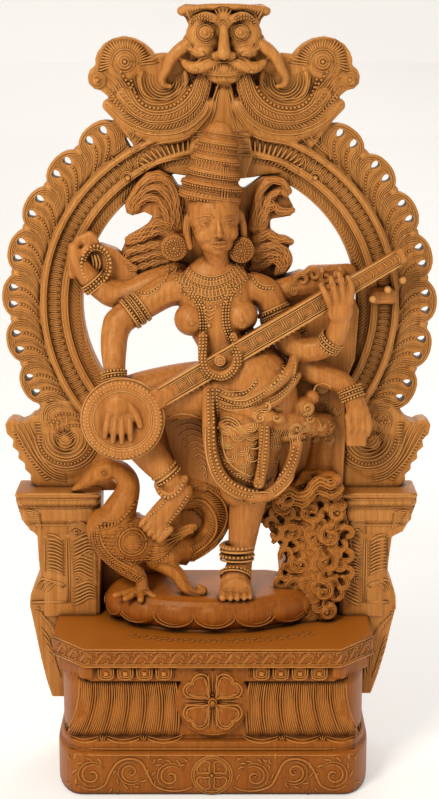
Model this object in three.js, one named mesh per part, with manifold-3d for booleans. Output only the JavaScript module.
// A carved wooden panel of Saraswati: the goddess plays the veena on a lotus, with her swan,
// inside a leaf-edged arch under a kirtimukha mask, on a moulded plinth.
// Millimetres, +Z up. The carving faces -Y, and its flat back is the plane Y = +DEPTH / 2.
import * as THREE from "three";
import { ConvexGeometry } from "three/addons/geometries/ConvexGeometry.js";
import { mergeVertices } from "three/addons/utils/BufferGeometryUtils.js";
import Module from "manifold-3d";

const wasm = await Module();
wasm.setup();

// The whole panel
const TOTAL_WIDTH = 520;
const TOTAL_HEIGHT = 915;
const DEPTH = 170;

// Plinth
const SLAB_WIDTH = 374;
const SLAB_HEIGHT = 54;
const SLAB_CORNER = [26, 52];
const CUSHION_INSET = 6;
const CUSHION_SETBACK = 14;
const CUSHION_HEIGHT = 88;
const CUSHION_ROLL = 9;
const FLUTES_PER_SIDE = 6;
const FLUTE_RADIUS = 6;
const CORNICE_OVERHANG = 4;
const CORNICE_CHAMFER = [42, 46];
const TAB_HEIGHT = 20;
const TAB_WIDTH = 18;
const TAB_PITCH = 25;
const TAB_PROUD = 6;
const TABS_PER_SIDE = 4;
const FRIEZE_HEIGHT = 22;
const ROSETTE_RADIUS = 43;
const ROSETTE_PROUD = 10;

// Lotus seat
const LOTUS_HALF_WIDTH = 126;
const LOTUS_HALF_DEPTH = 72;
const LOTUS_MIDDLE = 50;
const LOTUS_HEIGHT = 40;
const PETALS = 8;

// Arch: the widths of its bands, from the opening outwards
const LEAF_BAND = 16;
const BEAD_RIDGE = 8;
const RIB_BAND = 15;
const OUTER_RIDGE = 9;
const LOBE_LENGTH = 48;
const ARCH_INNER = TOTAL_WIDTH / 2 - LEAF_BAND - BEAD_RIDGE - RIB_BAND - OUTER_RIDGE - LOBE_LENGTH;
const LOBE_PITCH = 12.95;
const LOBES_PER_SIDE = 8;
const TOP_LOBE = 54;
const LOBE_BACK = 3;
const LOBE_FACE = 27;
const ARCH_FACE = 36;

// Crest, posts and figure
const CREST_FACE = 40;
const POST_FACE = 58;
const CAPITAL_HEIGHT = 22;
const CAPITAL_PROUD = 4;
const FIGURE_HEIGHT = 560;
const SIDES = 6;

// Everything above the plinth is drawn on a sheet 520 wide, from its deck line at 184 to its top at 915.
// The sheet is fitted to the whole width and height, and stands on the deck.
const BACK = DEPTH / 2;
const DECK = SLAB_HEIGHT + CUSHION_HEIGHT + TAB_HEIGHT + FRIEZE_HEIGHT;
const DRAWN_WIDTH = 520;
const DRAWN_DECK = 184;
const DRAWN_TOP = 915;
const DRAWN_FIGURE = 560;
const WIDE = TOTAL_WIDTH / DRAWN_WIDTH;
const TALL = (TOTAL_HEIGHT - DECK) / (DRAWN_TOP - DRAWN_DECK);
const PLINTH_X = -8;
const LOTUS_X = -10;
const ARCH_Z = 565;
const CREST_X = 5;

const { degToRad } = THREE.MathUtils;
const mix = THREE.MathUtils.lerp;
const list = (n, make) => Array.from({ length: n }, (_, i) => make(i));
const polar = (x, z, radius, degrees) => [
  x + radius * Math.cos(degToRad(degrees)),
  z + radius * Math.sin(degToRad(degrees)),
];
const mirrored = (outline, x) => outline.map(([px, pz]) => [2 * x - px, pz]).toReversed();

// A point by its place across, its height on the sheet, and how far it stands forward of the back
const at = (x, z, forward) =>
  new THREE.Vector3(x * WIDE, BACK - forward, DECK + (z - DRAWN_DECK) * TALL);

// The place on the sheet of a point that is given in true sizes
const sheet = (x, z) => [x / WIDE, DRAWN_DECK + (z - DECK) / TALL];

// A closed geometry as a solid that can be joined and cut
function solid(geometry) {
  const plain = geometry.index ? geometry.toNonIndexed() : geometry.clone();
  plain.deleteAttribute("normal");
  plain.deleteAttribute("uv");
  const merged = mergeVertices(plain, 1e-3);
  return new wasm.Manifold(
    new wasm.Mesh({
      numProp: 3,
      vertProperties: merged.attributes.position.array,
      triVerts: new Uint32Array(merged.index.array),
    }),
  );
}

// Joins geometries two by two, which keeps each step small
function joined(geometries) {
  let level = geometries.map((geometry) => (geometry.isBufferGeometry ? solid(geometry) : geometry));
  while (level.length > 1) {
    level = list(Math.ceil(level.length / 2), (i) =>
      2 * i + 1 < level.length ? level[2 * i].add(level[2 * i + 1]) : level[2 * i],
    );
  }
  return level[0];
}

// A flat outline of [across, height] points in true sizes, grown to a thickness
function sawn(outline, thick, holes = []) {
  const points = (loop) => loop.map(([x, z]) => new THREE.Vector2(x, z));
  const shape = new THREE.Shape(points(outline));
  holes.forEach((hole) => shape.holes.push(new THREE.Path(points(hole))));
  return new THREE.ExtrudeGeometry(shape, { depth: thick, bevelEnabled: false }).rotateX(Math.PI / 2);
}

// A flat outline of [across, height] points on the sheet, between two distances forward of the back
function slab(outline, from, to) {
  const back = at(0, 0, from);
  return sawn(outline, to - from).scale(WIDE, 1, TALL).translate(back.x, back.y, back.z);
}

const box = (left, right, low, high, from, to) =>
  slab([[left, low], [right, low], [right, high], [left, high]], from, to);

// A plan of [across, forward] points, between two heights, with its edges rolled over
function tier(plan, low, high, roll = 0) {
  const shape = new THREE.Shape(plan.map(([x, forward]) => new THREE.Vector2(x, BACK - forward)));
  const geometry = new THREE.ExtrudeGeometry(shape, {
    depth: high - low - 2 * roll,
    bevelEnabled: roll > 0,
    bevelThickness: roll,
    bevelSize: roll,
    bevelOffset: -roll,
    bevelSegments: 2,
  });
  return geometry.translate(0, 0, low + roll);
}

// An ellipsoid whose poles face front and back, turned in the plane of the panel
function ball(x, z, forward, across, up, deep, turn = 0, sides = SIDES, rows = 3) {
  const geometry = new THREE.SphereGeometry(1, sides, rows);
  geometry.scale(across, deep, up);
  geometry.rotateY(-degToRad(turn));
  const middle = at(x, z, forward);
  return geometry.translate(middle.x, middle.y, middle.z);
}

// A limb through points [across, height, forward, radius, depth radius], with flat ends
function limb(points, sides = SIDES) {
  const rings = points.length - 1;
  const geometry = new THREE.CylinderGeometry(1, 1, rings, sides, rings);
  const centres = points.map(([x, z, forward]) => at(x, z, forward));
  const corners = geometry.attributes.position;
  const frames = centres.map((_, i) => {
    const along = centres[Math.min(i + 1, rings)].clone().sub(centres[Math.max(i - 1, 0)]).normalize();
    const facing = Math.abs(along.y) > 0.9 ? new THREE.Vector3(0, 0, 1) : new THREE.Vector3(0, -1, 0);
    const front = facing.addScaledVector(along, -facing.dot(along)).normalize();
    return [new THREE.Vector3().crossVectors(along, front), front];
  });
  for (let i = 0; i < corners.count; i++) {
    const ring = Math.round(corners.getY(i) + rings / 2);
    const [side, front] = frames[ring];
    const [, , , radius, deep = radius] = points[ring];
    const place = centres[ring].clone();
    place.addScaledVector(side, corners.getX(i) * radius).addScaledVector(front, corners.getZ(i) * deep);
    corners.setXYZ(i, place.x, place.y, place.z);
  }
  return geometry;
}

// A round ring that lies across a limb, halfway between two points [across, height, forward]
function bangle(near, far, radius, thick, sides = 8) {
  const along = at(...far).sub(at(...near)).normalize().multiplyScalar(thick / 2);
  const end = (sign) => [
    (near[0] + far[0]) / 2 + sign * along.x,
    (near[1] + far[1]) / 2 + sign * along.z,
    (near[2] + far[2]) / 2 - sign * along.y,
    radius,
  ];
  return limb([end(-1), end(1)], sides);
}

// A raised arc on the face of the panel
function arc(x, z, radius, width, start, end, from, to, steps = 7) {
  const angles = list(steps + 1, (i) => mix(start, end, i / steps));
  const outline = [
    ...angles.map((angle) => polar(x, z, radius + width / 2, angle)),
    ...angles.toReversed().map((angle) => polar(x, z, radius - width / 2, angle)),
  ];
  return slab(start < end ? outline : outline.toReversed(), from, to);
}

// A tapering comma that winds round its eye, as locks of hair and leaf scrolls do
function curl(x, z, radius, start, sweep, from, to) {
  const outer = list(6, (i) => polar(x, z, radius * mix(1, 0.55, i / 5), start + (sweep * i) / 5));
  const inner = list(3, (i) => polar(x, z, radius * mix(0.26, 0.12, i / 2), start + sweep * (0.9 - i / 2.6)));
  const outline = [...outer, ...inner];
  return slab(sweep > 0 ? outline : outline.toReversed(), from, to);
}

// Plinth: a rounded slab, a cushion carved as hanging cloth, and a cornice with cut corners
function plinth() {
  const rounded = (half, front, [wide, deep], steps) => {
    const corner = list(steps + 1, (i) => [
      half - wide * (1 - Math.cos(degToRad((90 * i) / steps))),
      front - deep * (1 - Math.sin(degToRad((90 * i) / steps))),
    ]);
    return [
      [PLINTH_X + half, 0],
      ...corner.map(([x, forward]) => [PLINTH_X + x, forward]),
      ...corner.toReversed().map(([x, forward]) => [PLINTH_X - x, forward]),
      [PLINTH_X - half, 0],
    ];
  };
  const slabHalf = SLAB_WIDTH / 2;
  const cushionHalf = slabHalf - CUSHION_INSET;
  const cushionFace = DEPTH - CUSHION_SETBACK;
  const corniceHalf = slabHalf + CORNICE_OVERHANG;
  const tabsLow = SLAB_HEIGHT + CUSHION_HEIGHT;
  const tabsHigh = tabsLow + TAB_HEIGHT;
  const rosetteZ = (SLAB_HEIGHT + CUSHION_ROLL * 2 + tabsHigh) / 2;
  const parts = [
    tier(rounded(slabHalf, DEPTH, SLAB_CORNER, 4), 0, SLAB_HEIGHT),
    tier(rounded(cushionHalf + 1, cushionFace + 7, SLAB_CORNER, 3), SLAB_HEIGHT - 1, SLAB_HEIGHT + 10),
    tier(rounded(cushionHalf, cushionFace, SLAB_CORNER, 3), SLAB_HEIGHT + 6, tabsLow + 4, CUSHION_ROLL),
    tier(rounded(corniceHalf - TAB_PROUD, DEPTH - TAB_PROUD, CORNICE_CHAMFER, 1), tabsLow, tabsHigh + 1),
    tier(rounded(corniceHalf, DEPTH, CORNICE_CHAMFER, 1), tabsHigh, DECK),
  ];
  for (const side of [-1, 1]) {
    for (let i = 0; i < TABS_PER_SIDE; i++) {
      const x = PLINTH_X + side * (ROSETTE_RADIUS + TAB_PITCH * (i + 0.6));
      const [left, low] = sheet(x - TAB_WIDTH / 2, tabsLow + 1);
      const [right, high] = sheet(x + TAB_WIDTH / 2, tabsHigh + 1);
      parts.push(box(left, right, low, high, DEPTH - 2 * TAB_PROUD, DEPTH - 1));
    }
    for (let i = 0; i < FLUTES_PER_SIDE; i++) {
      const top = PLINTH_X + side * (ROSETTE_RADIUS + 8 + i * 18);
      const foot = PLINTH_X + side * (ROSETTE_RADIUS - 12 + i * 20);
      const face = cushionFace - 2;
      parts.push(
        limb([
          [...sheet(foot, SLAB_HEIGHT + 12), face, FLUTE_RADIUS],
          [...sheet(top, tabsLow + 2), face, FLUTE_RADIUS],
        ], 4),
      );
    }
  }
  const disc = list(14, (i) => sheet(...polar(PLINTH_X, rosetteZ, ROSETTE_RADIUS, (i * 360) / 14)));
  parts.push(slab(disc, cushionFace - 6, cushionFace + ROSETTE_PROUD - 5));
  for (let i = 0; i < 4; i++) {
    const [x, z] = sheet(...polar(PLINTH_X, rosetteZ, ROSETTE_RADIUS * 0.52, 45 + i * 90));
    const petal = [ROSETTE_RADIUS * 0.46, ROSETTE_RADIUS * 0.34, 7];
    parts.push(ball(x, z, cushionFace + ROSETTE_PROUD - 7, ...petal, 45 + i * 90));
  }
  parts.push(ball(...sheet(PLINTH_X, rosetteZ), cushionFace + ROSETTE_PROUD - 4, 7, 7, 6, 0, 6));
  return joined(parts);
}

// Lotus seat: an oval with a rolled lip and broad petals, cut off flat at the back
function lotus() {
  const profile = [[0, 0], [0.88, 0], [0.98, 0.3], [1, 0.62], [0.9, 1], [0, 1]];
  const seat = new THREE.LatheGeometry(profile.map(([r, h]) => new THREE.Vector2(r, h * LOTUS_HEIGHT)), 20);
  seat.rotateX(Math.PI / 2).scale(LOTUS_HALF_WIDTH, LOTUS_HALF_DEPTH, 1);
  const middle = at(LOTUS_X, DRAWN_DECK - 1, LOTUS_MIDDLE);
  seat.translate(middle.x, middle.y, middle.z);
  const petals = list(PETALS, (i) => {
    const angle = degToRad(mix(188, -8, i / (PETALS - 1)));
    const normal = Math.atan2(LOTUS_HALF_WIDTH * Math.sin(angle), LOTUS_HALF_DEPTH * Math.cos(angle));
    const leaf = new THREE.SphereGeometry(1, 6, 3);
    leaf.scale(LOTUS_HALF_WIDTH * 0.19, 11, LOTUS_HEIGHT * 0.38).rotateZ(Math.PI / 2 - normal);
    return leaf.translate(
      middle.x + (LOTUS_HALF_WIDTH - 5) * Math.cos(angle),
      middle.y - (LOTUS_HALF_DEPTH - 5) * Math.sin(angle),
      DECK + LOTUS_HEIGHT * 0.45,
    );
  });
  const behind = new THREE.BoxGeometry(4 * LOTUS_HALF_WIDTH, DEPTH, 4 * LOTUS_HEIGHT);
  behind.translate(middle.x, BACK + DEPTH / 2, middle.z);
  return joined([seat, ...petals]).subtract(solid(behind));
}

// A post with a waisted side, a raised panel, mouldings and a capital
function post(outline, inner, outer) {
  const high = Math.max(...outline.map(([, z]) => z));
  const cap = outline.filter(([, z]) => z > high - 30).map(([x]) => x);
  const capLow = Math.min(...cap);
  const capHigh = Math.max(...cap);
  const low = Math.min(inner, outer);
  const top = Math.max(inner, outer);
  return [
    slab(outline, 0, POST_FACE - 6),
    box(low, top, DRAWN_DECK - 3, 283, 0, POST_FACE - 3),
    box(mix(low, top, 0.14), mix(low, top, 0.86), 194, 272, 0, POST_FACE + 1),
    box(capLow, capHigh, high - CAPITAL_HEIGHT, high, 0, POST_FACE + CAPITAL_PROUD),
    box(capLow + 8, capHigh - 8, high - 42, high - 30, 0, POST_FACE),
  ];
}

function posts() {
  const left = [
    [-244, 341], [-245, 318], [-239, 303], [-231, 292], [-221, 285], [-220, 234], [-229, 218], [-233, 198],
    [-228, 166], [-221, 128], [-213, 88], [-208, 76], [-178, 76], [-149, 120], [-149, 341],
  ];
  const right = [
    [235, 341], [234, 318], [230, 303], [223, 290], [209, 282], [205, 232], [213, 218], [217, 196],
    [211, 171], [205, 138], [196, 108], [188, 80], [160, 80], [149, 120], [149, 341],
  ];
  return joined([...post(left, -149, -215), ...post(right.toReversed(), 149, 201)]);
}

// A scroll of nested arcs on each capital, which rises to a tip beside the arch
function sideScroll(side) {
  const outline = [
    [118, 336], [218, 336], [226, 352], [232, 360], [233, 372], [243, 382], [242, 396], [252, 406], [254, 420],
    [243, 426], [229, 419], [214, 430], [194, 424], [160, 446], [122, 446], [124, 392], [134, 352],
  ];
  const parts = [slab(side > 0 ? outline : mirrored(outline, 0), 0, LOBE_FACE + 6)];
  const start = side > 0 ? -160 : -20;
  for (const radius of [20, 36, 51]) {
    const face = LOBE_FACE + 14 - radius / 10;
    parts.push(arc(side * 186, 416, radius, 8, start, start + side * 155, 12, face, 6));
  }
  parts.push(ball(side * 184, 412, LOBE_FACE + 6, 12, 12, 10));
  return joined(parts);
}

// The leaf-edged arch: one profile turned round its centre, and the lobes outside it
function arch() {
  const ridgeInner = ARCH_INNER + LEAF_BAND;
  const ribInner = ridgeInner + BEAD_RIDGE;
  const ribOuter = ribInner + RIB_BAND;
  const lobeRoot = ribOuter + OUTER_RIDGE;
  const tip = lobeRoot + LOBE_LENGTH;
  const half = LOBE_PITCH / 2;
  const profile = [
    [ARCH_INNER, 0], [lobeRoot, 0], [lobeRoot, ARCH_FACE], [ribOuter + 2, ARCH_FACE + 2], [ribOuter, ARCH_FACE - 4],
    [ribInner, ARCH_FACE - 4], [ribInner - 2, ARCH_FACE], [ridgeInner, ARCH_FACE], [ridgeInner, ARCH_FACE - 6],
    [ARCH_INNER, ARCH_FACE - 8], [ARCH_INNER, 0],
  ];
  const turned = profile.toReversed().map(([r, forward]) => new THREE.Vector2(r, -forward));
  const ring = new THREE.LatheGeometry(turned, 36);
  const middle = at(0, ARCH_Z, 0);
  ring.translate(middle.x, middle.y, middle.z);
  const right = list(LOBES_PER_SIDE, (i) => TOP_LOBE - LOBE_PITCH * (LOBES_PER_SIDE - 1 - i));
  const left = list(LOBES_PER_SIDE, (i) => 180 - TOP_LOBE + LOBE_PITCH * i);
  const edge = (angle) =>
    [
      [-half, tip - 22], [-half + 0.9, tip - 8], [-1.6, tip],
      [1.6, tip], [half - 0.9, tip - 8],
    ].map(([offset, radius]) => polar(0, 0, radius, angle + offset));
  const piercings = (angle) =>
    [-2.3, 2.3].map((offset) => {
      const centre = polar(0, 0, tip - 17.5, angle + offset);
      return list(4, (i) => polar(...centre, i % 2 ? 5 : 6.5, angle - i * 90));
    });
  const leafEdge = (angles) => {
    const first = angles[0] - half;
    const last = angles.at(-1) + half;
    const inside = list(9, (i) => polar(0, 0, lobeRoot - 5, mix(last, first, i / 8)));
    const outline = [...angles.flatMap(edge), polar(0, 0, tip - 22, last), ...inside];
    const leaves = sawn(outline, LOBE_FACE - LOBE_BACK, angles.flatMap(piercings));
    return leaves.translate(middle.x, middle.y - LOBE_BACK, middle.z);
  };
  const foot = right[0] - half;
  const gap = new ConvexGeometry(
    [[0, ARCH_Z], polar(0, ARCH_Z, 4 * tip, foot), polar(0, ARCH_Z, 4 * tip, 180 - foot)]
      .flatMap(([x, z]) => [at(x, z, -DEPTH), at(x, z, 2 * DEPTH)]),
  );
  return joined([ring, leafEdge(right), leafEdge(left)]).subtract(solid(gap));
}

// Crest: the kirtimukha mask, with a great volute and a shell fan on either side of it
function crest() {
  const half = [
    [47, 915], [50, 906], [39, 888], [47, 876], [46, 864], [64, 846], [74, 846], [80, 854], [88, 866],
    [103, 875], [122, 878], [139, 868], [150, 852], [158, 834], [153, 817], [129, 802], [141, 795],
    [131, 780], [104, 752], [66, 722], [30, 716],
  ].toReversed().map(([x, z]) => [CREST_X + x, z]);
  const parts = [slab([...half, ...mirrored(half, CREST_X)], 0, CREST_FACE - 8)];
  const pair = (make) => parts.push(make(-1), make(1));
  [[28, 4], [62, 3]].forEach(([radius, lift], i) => {
    pair((side) => {
      const start = side > 0 ? -177 + i * 3 : -3 - i * 3;
      const end = start + side * (148 - i * 8);
      return arc(CREST_X + side * 68, 834, radius, 15, start, end, 8, CREST_FACE + lift, 5);
    });
  });
  const shell = (side) => list(12, (i) => polar(CREST_X + side * 121, 852, i % 2 ? 19 : 25, i * 30));
  pair((side) => ball(CREST_X + side * 68, 833, CREST_FACE - 8, 18, 18, 12));
  pair((side) => slab(shell(side), 6, CREST_FACE - 2));
  pair((side) => ball(CREST_X + side * 121, 852, CREST_FACE - 4, 12, 12, 9));
  pair((side) => ball(CREST_X + side * 148, 824, CREST_FACE - 12, 12, 9, 14));
  // The mask: brows, round eyes, nose, cheeks, tusks that curl outwards, and a row of teeth
  const drawn = (outline) => outline.map(([x, z]) => [CREST_X + x, z]);
  const sided = (side, points) => points.map(([x, ...rest]) => [CREST_X + side * x, ...rest]);
  parts.push(slab(drawn([[-20, 836], [20, 836], [38, 852], [40, 915], [-40, 915], [-38, 852]]), 0, 50));
  pair((side) => limb(sided(side, [[36, 862, 52, 11], [60, 856, 54, 9], [70, 842, 50, 7], [62, 830, 46, 3]]), 4));
  pair((side) => ball(CREST_X + side * 20, 882, 56, 11, 10, 15));
  pair((side) => limb(sided(side, [[4, 888, 54, 6], [18, 898, 60, 7], [38, 890, 52, 5]]), 4));
  pair((side) => ball(CREST_X + side * 25, 858, 54, 15, 11, 15));
  parts.push(limb(sided(1, [[0, 896, 52, 6], [0, 872, 68, 8], [0, 858, 66, 13], [0, 850, 54, 9]]), 6));
  parts.push(limb(sided(1, [[-48, 906, 42, 9], [-20, 907, 50, 8], [20, 907, 50, 8], [48, 906, 42, 9]]), 4));
  parts.push(slab(drawn([[-16, 826], [16, 826], [19, 848], [-19, 848]]), 0, 58));
  parts.push(box(CREST_X - 15, CREST_X + 15, 830, 841, 50, 62));
  return joined(parts);
}

// The goddess, drawn joint by joint
function trunk() {
  return [
    limb([
      [-4, 610, 66, 22, 18], [-6, 594, 68, 46, 23], [-2, 572, 72, 45, 27], [-1, 548, 74, 35, 26],
      [4, 520, 75, 27, 23], [28, 496, 80, 38, 30], [44, 472, 82, 47, 36], [44, 446, 82, 42, 34],
    ], 9),
    limb([[-33, 557, 70, 22], [-33, 557, 88, 18], [-34, 556, 99, 8]], 8),
    limb([[25, 562, 68, 22], [25, 562, 86, 18], [25, 561, 97, 8]], 8),
  ];
}

function head() {
  const profile = [
    [0, -6], [34, -4], [30, 10], [30, 22], [24, 28], [24, 44], [18, 54], [17, 68], [8, 84], [0, 86],
  ];
  const crown = new THREE.LatheGeometry(profile.map(([r, h]) => new THREE.Vector2(r, h)), 8);
  const brow = at(-11, 701, 72);
  crown.rotateX(Math.PI / 2).scale(1, 0.9, 1).rotateY(degToRad(9)).translate(brow.x, brow.y, brow.z);
  return [
    crown,
    limb([
      [1, 606, 68, 24, 20], [-1, 620, 70, 18], [-2, 632, 74, 17], [-5, 637, 92, 15, 15], [-4, 652, 86, 27, 27],
      [-3, 674, 82, 32, 31], [-4, 700, 76, 30, 28],
    ], 8),
    limb([[-3, 682, 106, 4], [-1, 660, 111, 7]], 4),
    ball(-8, 664, 46, 54, 42, 20, 0, 9, 4),
    limb([[-22, 668, 64, 10], [-36, 658, 66, 10], [-50, 642, 68, 9]], 5),
    limb([[16, 668, 62, 10], [22, 640, 64, 9]], 5),
    bangle([-50, 641, 58], [-50, 641, 90], 13, 32),
    bangle([23, 638, 56], [25, 638, 84], 12.5, 28),
  ];
}

// Her front right arm plays the strings, and the one behind it lifts the rosary
function rightArms() {
  return [
    limb([
      [-40, 592, 64, 22], [-60, 586, 66, 21], [-86, 574, 71, 19], [-92, 571, 72, 22], [-100, 568, 74, 22], [-104, 565, 75, 19],
      [-120, 548, 80, 17], [-122, 512, 96, 13], [-122, 508, 97, 16.5], [-121, 497, 102, 16.5], [-121, 494, 104, 12],
      [-118, 474, 116, 14, 10],
    ]),
    slab([
      [-133, 478], [-134, 456], [-125, 430], [-117, 429], [-119, 446], [-113, 427], [-105, 427], [-109, 446],
      [-101, 428], [-94, 431], [-100, 452], [-90, 444], [-85, 451], [-99, 478],
    ], 112, 132),
    limb([
      [-52, 598, 48, 21], [-122, 570, 50, 20], [-140, 568, 50, 19], [-150, 588, 52, 15], [-150, 591, 52, 18],
      [-149, 599, 52, 18], [-149, 602, 52, 14], [-148, 616, 50, 15],
    ]),
    slab([
      [-132, 604], [-130, 622], [-133, 636], [-124, 640], [-126, 648], [-142, 652], [-150, 657], [-164, 650],
      [-168, 634], [-163, 612], [-156, 600],
    ], 38, 58),
    limb([
      [-150, 602, 58, 8], [-158, 620, 61, 5], [-153, 644, 59, 6], [-138, 644, 59, 6],
      [-132, 622, 61, 5], [-143, 602, 58, 8],
    ], 4),
  ];
}

// Her front left arm stops the strings, and the one behind it holds the book
function leftArms() {
  return [
    limb([
      [40, 590, 62, 20], [58, 580, 64, 19], [74, 532, 72, 17], [88, 520, 74, 16],
      [126, 528, 85, 13], [128, 529, 86, 17], [134, 538, 90, 17], [136, 541, 91, 13], [141, 556, 96, 13, 10],
    ]),
    slab([
      [124, 552], [150, 548], [156, 566], [152, 596], [146, 608], [138, 610], [142, 590], [136, 604],
      [127, 606], [132, 588], [124, 600], [115, 598], [124, 574],
    ], 92, 112),
    limb([
      [50, 582, 42, 20], [70, 560, 44, 19], [96, 504, 56, 17], [106, 494, 60, 16], [146, 478, 67, 12],
      [147, 477, 67, 16], [153, 471, 69, 16], [154, 469, 69, 12], [160, 456, 74, 13, 10],
    ]),
    slab([
      [148, 464], [146, 446], [150, 420], [158, 417], [166, 417], [174, 419], [178, 436], [176, 458], [168, 466],
    ], 66, 86),
    box(153, 168, 410, 438, 58, 92),
  ];
}

// Her right leg is raised with its foot on the swan, and she stands on the left one
function legs() {
  return [
    limb([
      [40, 470, 74, 36], [-10, 474, 76, 37], [-80, 468, 82, 32], [-118, 462, 84, 27],
      [-112, 440, 86, 27], [-84, 402, 88, 23], [-66, 380, 89, 17], [-64, 377, 89, 20], [-58, 369, 90, 20],
      [-55, 366, 90, 15], [-50, 352, 92, 14],
    ], 7),
    limb([[-42, 352, 88, 12], [-58, 343, 96, 14], [-76, 329, 106, 15, 10], [-88, 319, 110, 12, 6]], 5),
    limb([
      [48, 462, 76, 42], [44, 420, 80, 34], [41, 380, 82, 25], [36, 345, 76, 22], [28, 290, 73, 14],
      [27, 288, 73, 20], [26, 266, 72, 18], [26, 262, 72, 13], [24, 240, 76, 16],
    ], 7),
    limb([[24, 238, 62, 16, 14], [22, 236, 84, 17, 13], [20, 231, 100, 20, 8], [20, 229, 112, 20, 5]], 6),
  ];
}

// Belts, looped garlands, the knot, and the bows at her left hip
function drapery() {
  const hanging = [
    [-72, 452], [-60, 399], [-46, 364], [-18, 350], [10, 304], [22, 330], [40, 400], [20, 470],
  ];
  const scarf = [
    [74, 348], [150, 348], [152, 400], [150, 470], [162, 500], [166, 560], [150, 600], [96, 606], [62, 596],
    [46, 560], [56, 500], [66, 440],
  ];
  return [
    limb([[32, 462, 88, 44, 32], [18, 398, 84, 36, 26], [16, 372, 82, 30, 20]], 7),
    limb([[-6, 484, 100, 7, 11], [20, 466, 107, 7, 14], [50, 470, 105, 7, 14], [80, 496, 96, 7]], 4),
    limb([
      [-15, 482, 102, 9], [-19, 430, 113, 9], [-13, 388, 115, 9], [6, 362, 113, 9],
      [30, 356, 111, 9], [60, 374, 109, 9], [88, 444, 92, 9],
    ], 4),
    limb([[46, 450, 112, 9], [34, 416, 118, 9], [30, 368, 112, 8]], 4),
    limb([[58, 440, 108, 11], [16, 428, 112, 10], [-8, 440, 104, 8]], 4),
    ball(27, 356, 102, 28, 11, 15),
    curl(100, 444, 17, 200, -300, 30, 96),
    slab(hanging, 20, 60),
    slab(scarf, 12, 40),
    limb([[50, 436, 92, 17], [126, 424, 54, 15]], 5),
  ];
}

// Locks of hair that stream out on both sides of the head, and the flower at her shoulder
function locks() {
  const left = [
    [-30, 704], [-49, 707], [-56, 718], [-70, 726], [-85, 723], [-94, 714], [-111, 692], [-110, 676],
    [-94, 672], [-80, 664], [-96, 657], [-110, 647], [-117, 628], [-111, 612], [-84, 596], [4, 590], [4, 704],
  ];
  const right = [
    [0, 590], [62, 580], [86, 617], [81, 631], [85, 642], [66, 650], [84, 668], [88, 680],
    [80, 696], [82, 710], [66, 719], [50, 718], [30, 704], [0, 704],
  ];
  const arm = [[-160, 590], [-132, 590], [-100, 594], [-96, 612], [-122, 634], [-140, 640], [-160, 634]];
  return [
    slab(left, 10, 42),
    slab(right, 10, 38),
    slab(arm, 24, 52),
    curl(-72, 702, 20, 20, 300, 20, 46),
    curl(-93, 690, 17, 60, 290, 20, 44),
    curl(-94, 634, 19, 20, 280, 20, 48),
    curl(-72, 622, 18, 190, 290, 20, 52),
    curl(60, 700, 18, 160, -290, 20, 42),
    curl(66, 634, 16, 150, -290, 20, 42),
    ball(103, 603, 54, 15, 12, 16),
    curl(88, 592, 15, 120, 290, 36, 72),
    limb([[60, 576, 52, 16], [140, 592, 50, 13]], 6),
    limb([[110, 602, 48, 12], [152, 604, 36, 12]], 5),
  ];
}

// The veena: a flat-faced gourd, a long neck with frets, and the end that rests on the arch
function veena() {
  const start = [-78, 466, 118];
  const end = [214, 631, 66];
  const profile = [[0, -20], [24, -17], [42, -4], [47, 7], [44, 13], [40, 10], [0, 10]];
  const gourd = new THREE.LatheGeometry(profile.map(([r, h]) => new THREE.Vector2(r, h)), 16);
  const middle = at(-112, 446, 114);
  gourd.rotateX(Math.PI).translate(middle.x, middle.y, middle.z);
  const place = (share, lift) => list(3, (i) => mix(start[i], end[i], share) + (i === 2 ? lift : 0));
  const bar = (from, to, wide, thick) => {
    const a = at(...from);
    const b = at(...to);
    const along = b.clone().sub(a).normalize();
    const front = new THREE.Vector3(0, 1, 0).addScaledVector(along, -along.y).normalize();
    const up = new THREE.Vector3().crossVectors(along, front);
    const geometry = new THREE.BoxGeometry(a.distanceTo(b), thick, wide);
    geometry.applyMatrix4(new THREE.Matrix4().makeBasis(along, front, up));
    const centre = a.add(b).multiplyScalar(0.5);
    return geometry.translate(centre.x, centre.y, centre.z);
  };
  return [
    gourd,
    limb([[-104, 450, 114, 26, 14], [-62, 475, 114, 13, 10]], 8),
    bar(start, place(0.74, 0), 24, 16),
    bar(place(0.73, -1), end, 17, 20),
    bar(place(0.71, 2), place(0.77, 2), 27, 20),
    bar([178, 571, 44], [208, 587, 40], 15, 28),
  ];
}

// The swan, facing left, with a curled tail and the goddess's foot on its back
function swan() {
  const tail = [-32, 298];
  const fan = [
    [-40, 385], [-25, 383], [-8, 374], [4, 360], [14, 340], [16, 322], [9, 300], [-5, 277], [-28, 252],
    [-51, 250], [-86, 262], [-78, 300], [-46, 322],
  ];
  return [
    ball(-112, 290, 76, 46, 32, 30, -10, 8, 5),
    limb([
      [-124, 306, 76, 26], [-112, 334, 74, 17], [-113, 358, 70, 13], [-124, 374, 66, 13],
      [-140, 366, 64, 12], [-150, 360, 60, 8], [-174, 348, 52, 3],
    ], 6),
    limb([[-112, 272, 80, 20], [-100, 246, 84, 9], [-97, 222, 88, 11]], 5),
    limb([[-76, 282, 74, 24], [-36, 268, 50, 18]], 7),
    slab(fan, 18, 50),
    arc(...tail, 37, 9, -110, 110, 30, 56, 6),
    arc(...tail, 20, 9, -110, 150, 30, 58, 6),
    limb([[-72, 264, 78, 14], [-46, 246, 86, 10], [-34, 226, 90, 9], [-22, 228, 92, 8]], 6),
    slab(list(8, (i) => polar(-112, 290, 19, i * 45)), 80, 107),
  ];
}

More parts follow.
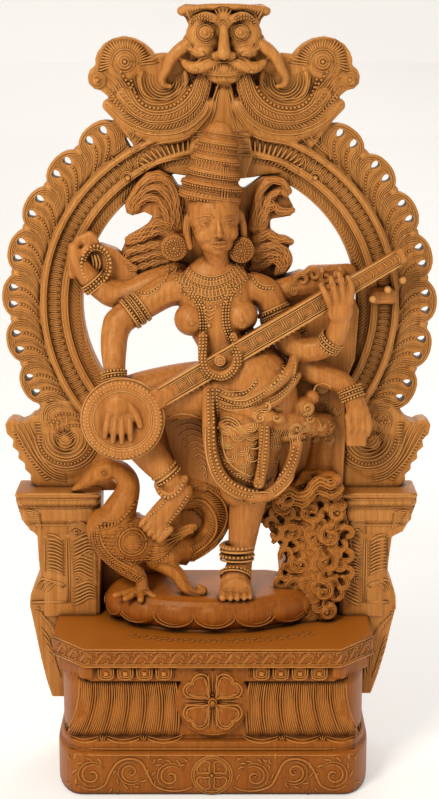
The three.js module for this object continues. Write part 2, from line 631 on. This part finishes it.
// The creeper of leaf scrolls that climbs at the goddess's left
function creeper() {
  const outline = [
    [84, 180], [128, 184], [142, 208], [156, 237], [162, 263], [158, 294], [152, 317], [149, 342],
    [140, 364], [118, 369], [100, 364], [92, 350], [63, 342], [51, 326], [52, 309], [64, 288],
    [82, 258], [72, 244], [75, 222],
  ];
  const curls = [
    [126, 348, 20, 20, 300], [78, 328, 18, 100, 290], [112, 312, 20, -30, -300], [140, 296, 18, 90, 290],
    [88, 280, 19, 200, -290], [124, 262, 20, 60, -300], [92, 236, 18, 40, 290], [128, 218, 18, 130, -290],
  ];
  return [
    slab(outline, 12, 62),
    limb([[100, 182, 64, 26], [110, 230, 62, 26], [112, 300, 50, 22]], 6),
    ...curls.map(([x, z, ...rest], i) => curl(x, z, ...rest, 40, 70 + (i % 2) * 6 + (360 - z) / 12)),
    limb([[118, 350, 34, 18], [128, 425, 24, 20]], 6),
    limb([[130, 330, 26, 16], [160, 322, 20, 14]], 6),
  ];
}

// The free forms keep the proportions of the standing figure, and stand on the lotus
const drawnLotus = at(0, 224, 0).z;
const lotusTop = DECK + LOTUS_HEIGHT;
const share = FIGURE_HEIGHT / DRAWN_FIGURE;
const forms = [trunk, head, rightArms, leftArms, legs, drapery, locks, veena, swan, creeper];
const figure = forms.flatMap((make) => make()).map((geometry) =>
  geometry.translate(0, 0, -drawnLotus).scale(share, 1, share).translate(0, 0, lotusTop),
);
const carving = joined([
  plinth(), lotus(), posts(), sideScroll(-1), sideScroll(1), arch(), crest(), joined(figure),
]);

const { vertProperties, triVerts } = carving.getMesh();
const indexed = new THREE.BufferGeometry();
indexed.setAttribute("position", new THREE.BufferAttribute(vertProperties, 3));
indexed.setIndex(new THREE.BufferAttribute(triVerts, 1));
const faceted = indexed.toNonIndexed();
faceted.computeVertexNormals();

const wood = new THREE.MeshStandardMaterial({ color: 0x9a5a26, roughness: 0.5, metalness: 0 });
const panel = new THREE.Mesh(faceted, wood);
panel.name = "saraswati_carving";
const group = new THREE.Group();
group.add(panel);

export default group;
